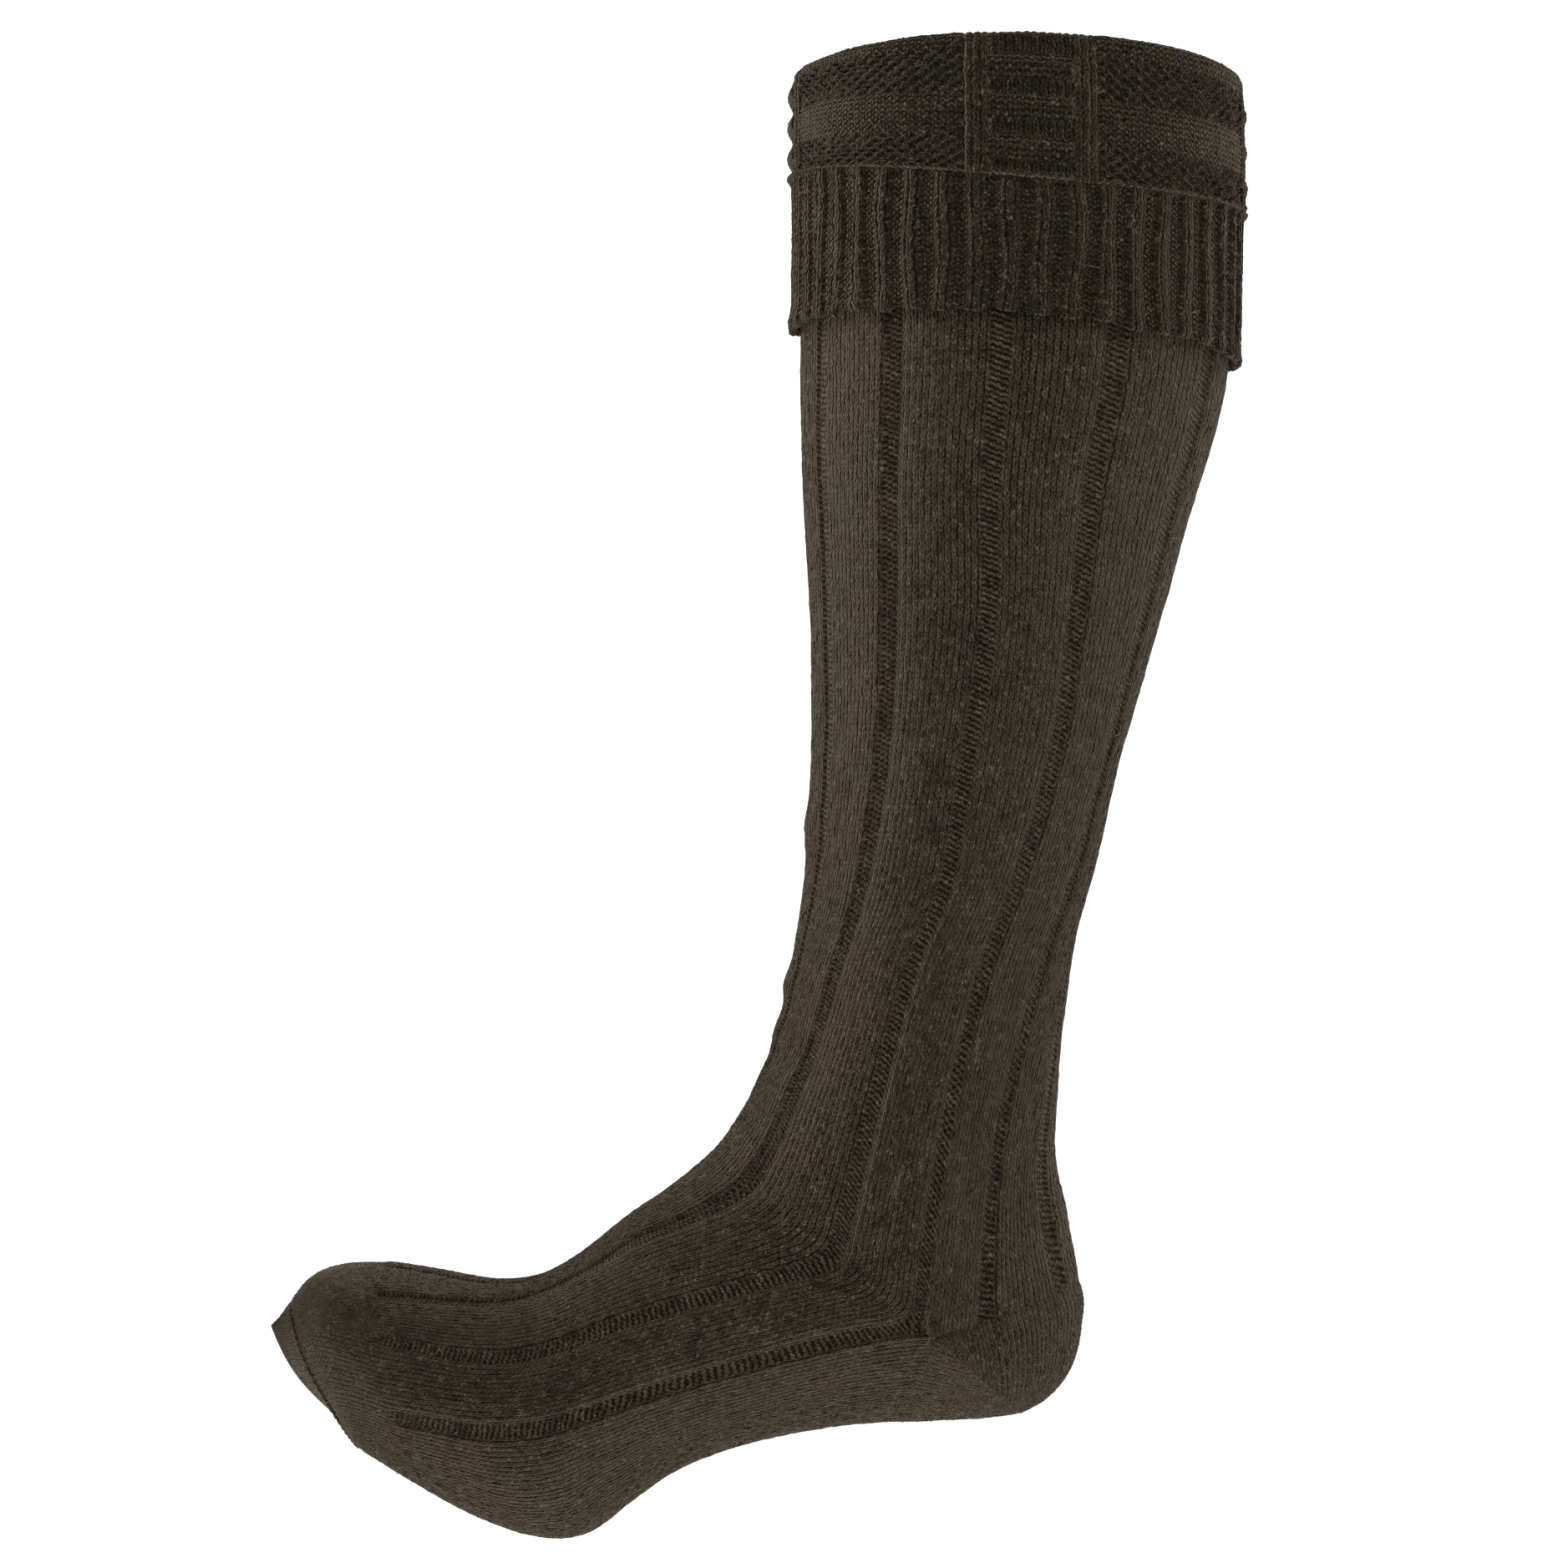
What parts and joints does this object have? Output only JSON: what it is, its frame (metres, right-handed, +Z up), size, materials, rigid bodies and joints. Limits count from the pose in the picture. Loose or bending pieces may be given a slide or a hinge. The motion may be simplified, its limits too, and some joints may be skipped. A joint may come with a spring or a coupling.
{
  "type": "kilt hose sock",
  "caption": "Knee-length ribbed wool sock in its worn form, hollow, with a patterned cuff turned down over a ribbed edge.",
  "frame": {"origin": "centre of the leg opening, level with the fold of the cuff", "axes": "+Z up the leg and out of the opening, -X towards the toe, -Y out of the sock's outer side"},
  "size_m": [0.3237, 0.138, 0.482],
  "materials": {
    "cuff_wool": "dark olive-brown marled wool, textured knit",
    "leg_wool": "dark olive-brown marled wool, ribbed knit",
    "foot_wool": "dark olive-brown marled wool, plain and ribbed knit",
    "seam_wool": "dark olive-brown wool, linked seam"
  },
  "bodies": {
    "root": {"cuff_band": "cuff_wool", "cuff_rib": "cuff_wool", "leg": "leg_wool", "heel": "foot_wool", "instep": "foot_wool", "sole": "foot_wool", "toe": "foot_wool", "toe_seam": "seam_wool"}
  },
  "joints": []
}
